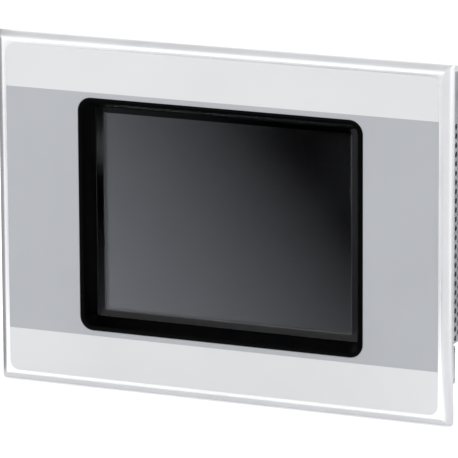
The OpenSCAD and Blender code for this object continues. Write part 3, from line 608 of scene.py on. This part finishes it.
def stands_for(piece, node, look):
    """Puts a shell in the place of its CAD node, on the case."""
    piece.data.materials.append(look)
    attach(piece, "case")
    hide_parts(node)


stands_for(make_frame_shell(), "front_frame", FRAME_LOOK)
stands_for(make_bezel_shell(), "display_bezel", BEZEL_LOOK)


# ---------- floor, light and camera ----------

def make_floor():
    """A pale floor that glows a little, level with the front frame's lower edge."""
    size = 6
    corners = [(x * size, y * size, FLOOR_Z) for x, y in ((-1, -1), (1, -1), (1, 1), (-1, 1))]
    mesh = bpy.data.meshes.new("floor")
    mesh.from_pydata(corners, [], [(0, 1, 2, 3)])
    floor = bpy.data.objects.new("floor", mesh)
    bpy.context.scene.collection.objects.link(floor)
    mesh.materials.append(material("pale_floor", (0.93, 0.93, 0.93), 0.8,
                                   Emission_Color=(1, 1, 1, 1), Emission_Strength=0.3))


def make_world(strength):
    """An even white light from all sides."""
    world = bpy.data.worlds.new("studio")
    world.use_nodes = True
    background = world.node_tree.nodes["Background"]
    background.inputs["Color"].default_value = (1, 1, 1, 1)
    background.inputs["Strength"].default_value = strength
    bpy.context.scene.world = world


def make_camera():
    """A long lens, to the right of the front and a little above it."""
    azimuth = math.radians(24.17)
    elevation = math.radians(13.07)
    roll = math.radians(-0.31)
    distance = 2.1015
    offset_right = 2.213 * MM
    offset_up = -1.922 * MM
    back = Vector((math.sin(azimuth) * math.cos(elevation),
                   -math.cos(azimuth) * math.cos(elevation), math.sin(elevation)))
    right = Vector((math.cos(azimuth), math.sin(azimuth), 0))
    up = back.cross(right)
    across = right * math.cos(roll) + up * math.sin(roll)
    data = bpy.data.cameras.new("camera")
    data.sensor_width = 36
    data.lens = 385.83
    data.clip_start = 0.05
    data.clip_end = 50
    camera = bpy.data.objects.new("camera", data)
    camera.location = back * distance + right * offset_right + up * offset_up
    camera.rotation_euler = Matrix((across, back.cross(across), back)).transposed().to_euler()
    bpy.context.scene.collection.objects.link(camera)
    bpy.context.scene.camera = camera


def make_card(name, corners, look):
    """A flat card that only reflections see: it shades no light and the camera doesn't see it."""
    mesh = bpy.data.meshes.new(name)
    mesh.from_pydata(corners, [], [(0, 1, 2, 3)])
    mesh.materials.append(look)
    card = bpy.data.objects.new(name, mesh)
    card.visible_camera = False
    card.visible_shadow = False
    card.visible_diffuse = False
    bpy.context.scene.collection.objects.link(card)


def flat_card(x, y):
    """Corners of a card that lies on the floor."""
    return [(x[0], y[0], CARD_Z), (x[1], y[0], CARD_Z), (x[1], y[1], CARD_Z), (x[0], y[1], CARD_Z)]


def slanted_card(left, right, slant, y):
    """Corners of a narrow card just above the floor, whose sides lean by slant towards -Y."""
    return [(x + slant * end, end, CARD_Z + 0.1 * MM)
            for x, end in ((left, y[0]), (right, y[0]), (right, y[1]), (left, y[1]))]


def upright_card(x, y, top):
    """Corners of a card that stands on the floor beside the object."""
    return [(x, y[0], CARD_Z), (x, y[1], CARD_Z), (x, y[1], top), (x, y[0], top)]


def glow(name, strength, tint=(0.975, 0.98, 1.025)):
    """An even glow, as of a softly lit card."""
    m = bpy.data.materials.new(name)
    m.use_nodes = True
    shader = m.node_tree.nodes["Principled BSDF"]
    shader.inputs["Base Color"].default_value = (0, 0, 0, 1)
    shader.inputs["Specular IOR Level"].default_value = 0
    shader.inputs["Emission Color"].default_value = (*tint, 1)
    shader.inputs["Emission Strength"].default_value = strength
    return m


def fading_glow(name, strength, slant, start, end):
    """A glow that fades across a slanting line on the floor, from left to right."""
    m = glow(name, strength, (0.95, 0.97, 1.06))
    split = add(m, "SeparateXYZ")
    link(m, place(m), split.inputs["Vector"])
    lean = maths(m, "MULTIPLY", split.outputs["Y"], slant)
    across = maths(m, "SUBTRACT", split.outputs["X"], lean)
    link(m, spread(m, across, strength, 0, start, end), shader_input(m, "Emission Strength"))
    return m


make_floor()

# The cards lie on the floor, stand beside the object or hang over it. They were placed and toned
# for this camera's view of the rim, the bezel and the touch film.
make_card("front_card", flat_card((-0.9, 0.5), (-0.85, -0.1)),
          fading_glow("front_card", 1.0, 0.6526, -0.052, 0.130))
make_card("foot_card", flat_card((-0.25, 0.25), (-0.010, 0.03)), glow("foot_card", 0.6))
make_card("strip_card", slanted_card(0.1, 0.128, 0.449, (-0.625, -0.02)), glow("strip_card", 2.0))
make_card("back_card", flat_card((0.125, 0.9), (0.04, 1.2)), glow("back_card", 0.32))
make_card("left_card", upright_card(-0.118, (-0.016, 0.02), 0.1), glow("left_card", 0.03))
make_card("right_card", upright_card(0.118, (-0.15, -0.004), 0.3), glow("right_card", 0.68))
make_card("top_card", [(-0.8, -0.9, 0.9), (0.8, -0.9, 0.9), (0.8, 0.5, 0.9), (-0.8, 0.5, 0.9)],
          glow("top_card", 0.5))

make_world(1.28)
make_camera()
bpy.context.scene.view_settings.view_transform = "Standard"
